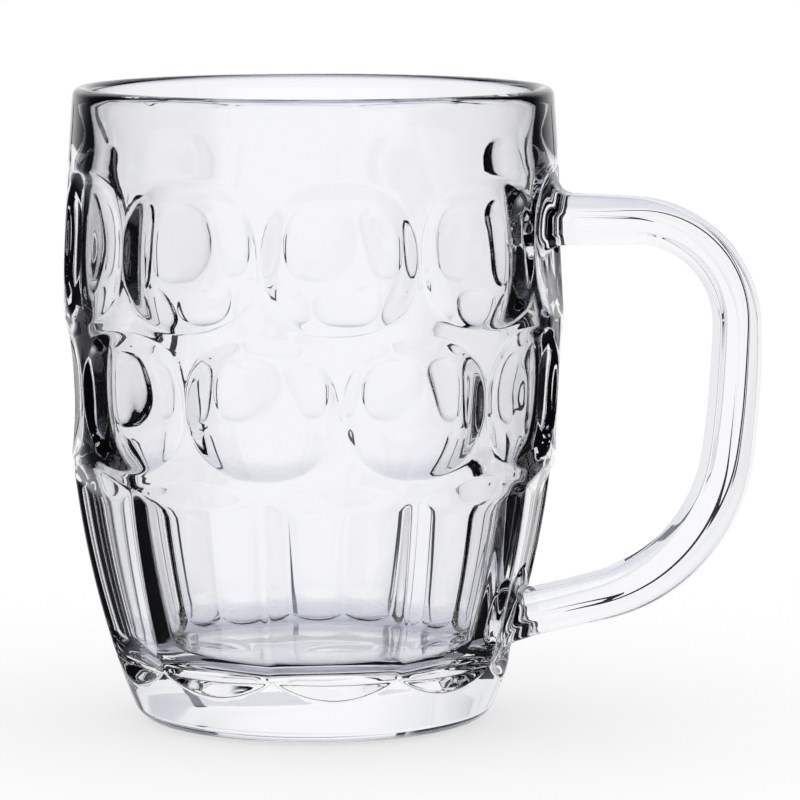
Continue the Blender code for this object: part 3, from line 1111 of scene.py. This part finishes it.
# %% places and colours in the sky
STRAIGHT_DOWN, FULL_RISE = -90, 180
RAMP_MIDDLE = 0.5
SKY_STEPS = ((-90, 0.82), (-66, 0.76), (-58, 0.58), (-50, 0.48),
             (-44, 0.52), (-36, 0.80), (-28, 0.95), (-16, 1.0))
COOL = (0.80, 0.84, 1.0)
COOL_GAIN = 3


def sky_place(tree):
    """Degrees to the right of the photograph's line of sight, and degrees above the horizon."""
    place = tree.nodes.new("ShaderNodeTexCoord")
    turned = tree.nodes.new("ShaderNodeMapping")
    turned.inputs["Rotation"].default_value = (0.0, 0.0, -PHOTO_TURN)
    tree.links.new(place.outputs["Generated"], turned.inputs["Vector"])
    parts = tree.nodes.new("ShaderNodeSeparateXYZ")
    tree.links.new(turned.outputs["Vector"], parts.inputs["Vector"])
    side = math_node(tree, "ARCTAN2", parts.outputs["X"], parts.outputs["Y"])
    rise = math_node(tree, "ARCSINE", parts.outputs["Z"])
    return math_node(tree, "DEGREES", side), math_node(tree, "DEGREES", rise)


def sky_ramp(tree, rise):
    """Colour by height: each step of the sky has a brightness, and the greyer, the cooler."""
    ramp = tree.nodes.new("ShaderNodeValToRGB")
    share = math_node(tree, "MULTIPLY_ADD", rise, 1 / FULL_RISE, RAMP_MIDDLE)
    tree.links.new(share, ramp.inputs["Fac"])
    marks = ramp.color_ramp.elements
    while len(marks) < len(SKY_STEPS):
        marks.new(RAMP_MIDDLE)
    for mark, (degrees, value) in zip(marks, SKY_STEPS):
        mark.position = (degrees - STRAIGHT_DOWN) / FULL_RISE
        coolness = min(1.0, COOL_GAIN * (1 - value))
        mark.color = (*(value * c**coolness for c in COOL), 1.0)
    return ramp.outputs["Color"]


print("sky is greyest", min(SKY_STEPS, key=lambda step: step[1])[0], "degrees from the horizon")

# %% what light sees straight through the glass
SIDE_START, SIDE_END, SIDE_TONE = 9.0, 27.0, 0.92
STRIPE_LEFTS = (-21.0, 21.0)
STRIPE_WIDTH, STRIPE_SOFT = 2.5, 0.4
STRIPE_LOW, STRIPE_HIGH, STRIPE_FADE = -32, -2, 2
STRIPE_DARK = 0.97


def between(tree, value, low, high, soft):
    """1 where the value lies from low to high, with soft edges."""
    enters = fading(tree, value, low - soft / 2, low + soft / 2)
    leaves = fading(tree, value, high - soft / 2, high + soft / 2, 1.0, 0.0)
    return math_node(tree, "MULTIPLY", enters, leaves)


def straight_light(tree, side, rise):
    """Share of the light that is left: a little less to the sides, and hardly any on a stripe."""
    away = math_node(tree, "ABSOLUTE", side)
    light = fading(tree, away, SIDE_START, SIDE_END, 1.0, SIDE_TONE)
    for left in STRIPE_LEFTS:
        across = between(tree, side, left, left + STRIPE_WIDTH, STRIPE_SOFT)
        along = between(tree, rise, STRIPE_LOW, STRIPE_HIGH, STRIPE_FADE)
        stripe = math_node(tree, "MULTIPLY", across, along)
        lost = math_node(tree, "MULTIPLY", stripe, STRIPE_DARK)
        light = math_node(tree, "MULTIPLY", math_node(tree, "SUBTRACT", 1.0, lost), light)
    return light


print("dark stripes at", STRIPE_LEFTS, "degrees")

# %% what light sees after a reflection
ROOM_SIDE, ROOM_BACK = (19.0, 25.0), (115.0, 135.0)
ROOM_TOP, ROOM_LOW = (14.0, 26.0), (-44.0, -34.0)
ROOM_DARK = 0.996
FRONT_SIDE, FRONT_DARK = (24.0, 50.0), 0.95


def reflected_loss(tree, rays, side, rise):
    """Share of the light that a reflection loses to the dark sides of the room."""
    away = math_node(tree, "ABSOLUTE", side)
    reflected = was_reflected(tree, rays)
    # light reflected inside the glass comes out by transmission, and light off its face does not
    inside = math_node(tree, "MULTIPLY", reflected, rays.outputs["Is Transmission Ray"])
    off_face = math_node(tree, "SUBTRACT", reflected, inside)
    room = fading(tree, away, *ROOM_SIDE, 0.0, ROOM_DARK)
    limits = ((away, ROOM_BACK, 1.0, 0.0), (rise, ROOM_TOP, 1.0, 0.0), (rise, ROOM_LOW, 0.0, 1.0))
    for value, edge, low, high in limits:
        room = math_node(tree, "MULTIPLY", room, fading(tree, value, *edge, low, high))
    front = fading(tree, away, *FRONT_SIDE, 0.0, FRONT_DARK)
    lost = math_node(tree, "MULTIPLY", off_face, front)
    return math_node(tree, "MULTIPLY_ADD", inside, room, lost)


print("reflections see a dark room from", ROOM_SIDE[0], "to", ROOM_BACK[1], "degrees")


# %% studio sky
def studio_sky():
    """Plain white for the camera and the floor, and the two rooms for light bent by glass."""
    world = bpy.data.worlds.new("studio_sky")
    bpy.context.scene.world = world
    world.use_nodes = True
    tree = world.node_tree
    nodes, links = tree.nodes, tree.links
    nodes.clear()
    out = nodes.new("ShaderNodeOutputWorld")
    rays = nodes.new("ShaderNodeLightPath")
    side, rise = sky_place(tree)
    kept = math_node(tree, "SUBTRACT", 1.0, reflected_loss(tree, rays, side, rise))
    light = math_node(tree, "MULTIPLY", straight_light(tree, side, rise), kept)
    tone = nodes.new("ShaderNodeMix")
    tone.data_type = "RGBA"
    tone.blend_type = "MULTIPLY"
    links.new(math_node(tree, "SUBTRACT", 1.0, light), tone.inputs["Factor"])
    links.new(sky_ramp(tree, rise), tone.inputs["A"])
    tone.inputs["B"].default_value = (*COOL, 1.0)
    plain = nodes.new("ShaderNodeBackground")
    plain.inputs["Color"].default_value = (1.0, 1.0, 1.0, 1.0)
    studio = nodes.new("ShaderNodeBackground")
    links.new(tone.outputs["Result"], studio.inputs["Color"])
    links.new(light, studio.inputs["Strength"])
    bent = math_node(tree, "MAXIMUM",
                     rays.outputs["Is Glossy Ray"], rays.outputs["Is Transmission Ray"])
    sky = mixed(tree, bent, plain.outputs["Background"], studio.outputs["Background"])
    links.new(sky, out.inputs["Surface"])
    return world


sky = studio_sky()
bpy.context.scene.view_settings.view_transform = "Standard"
print("sky of", len(sky.node_tree.nodes), "nodes")

# %% [markdown]
# ## Put each piece in its place
# Every piece stands for one node of the frame and moves with its body. Nothing on this mug
# moves, so all four ride on the root.

# %% ride and replace
for piece, node, slot in ((bowl, "bowl", "bowl_glass"),
                          (handle, "handle", "handle_glass"),
                          (upper_weld, "upper_weld", "weld_glass"),
                          (lower_weld, "lower_weld", "weld_glass")):
    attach(piece, "root")
    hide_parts(node)
    print(piece.name, "stands for", node)
